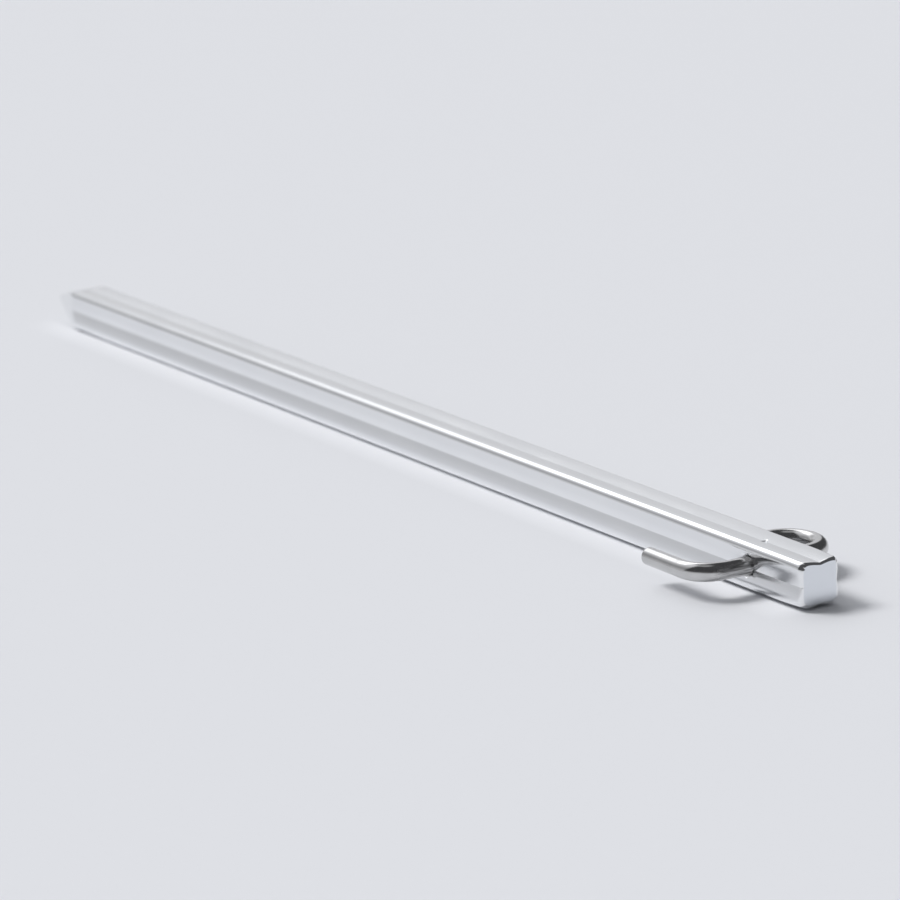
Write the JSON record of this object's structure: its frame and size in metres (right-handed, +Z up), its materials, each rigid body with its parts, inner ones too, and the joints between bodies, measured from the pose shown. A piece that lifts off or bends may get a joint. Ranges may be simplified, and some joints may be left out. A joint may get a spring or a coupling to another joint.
{
  "type": "tent stake",
  "caption": "Long grooved square-bar tent stake with a pyramid point and a bent cross wire that forms a guy-line hook on one side and a pull eye on the other.",
  "frame": {"origin": "centre of the flat head face, on the bar's axis", "axes": "+X along the bar, out of the head, with the point towards -X; the hook is on -Y and the eye on +Y; +Z is up when the stake lies flat on one side of its bar"},
  "size_m": [0.3, 0.0342, 0.0094],
  "materials": {
    "bar_aluminium": "bright drawn aluminium with a light satin along the bar",
    "wire_steel": "bright polished stainless wire"
  },
  "bodies": {
    "root": {"shank": "bar_aluminium", "hook_wire": "wire_steel"}
  },
  "joints": []
}
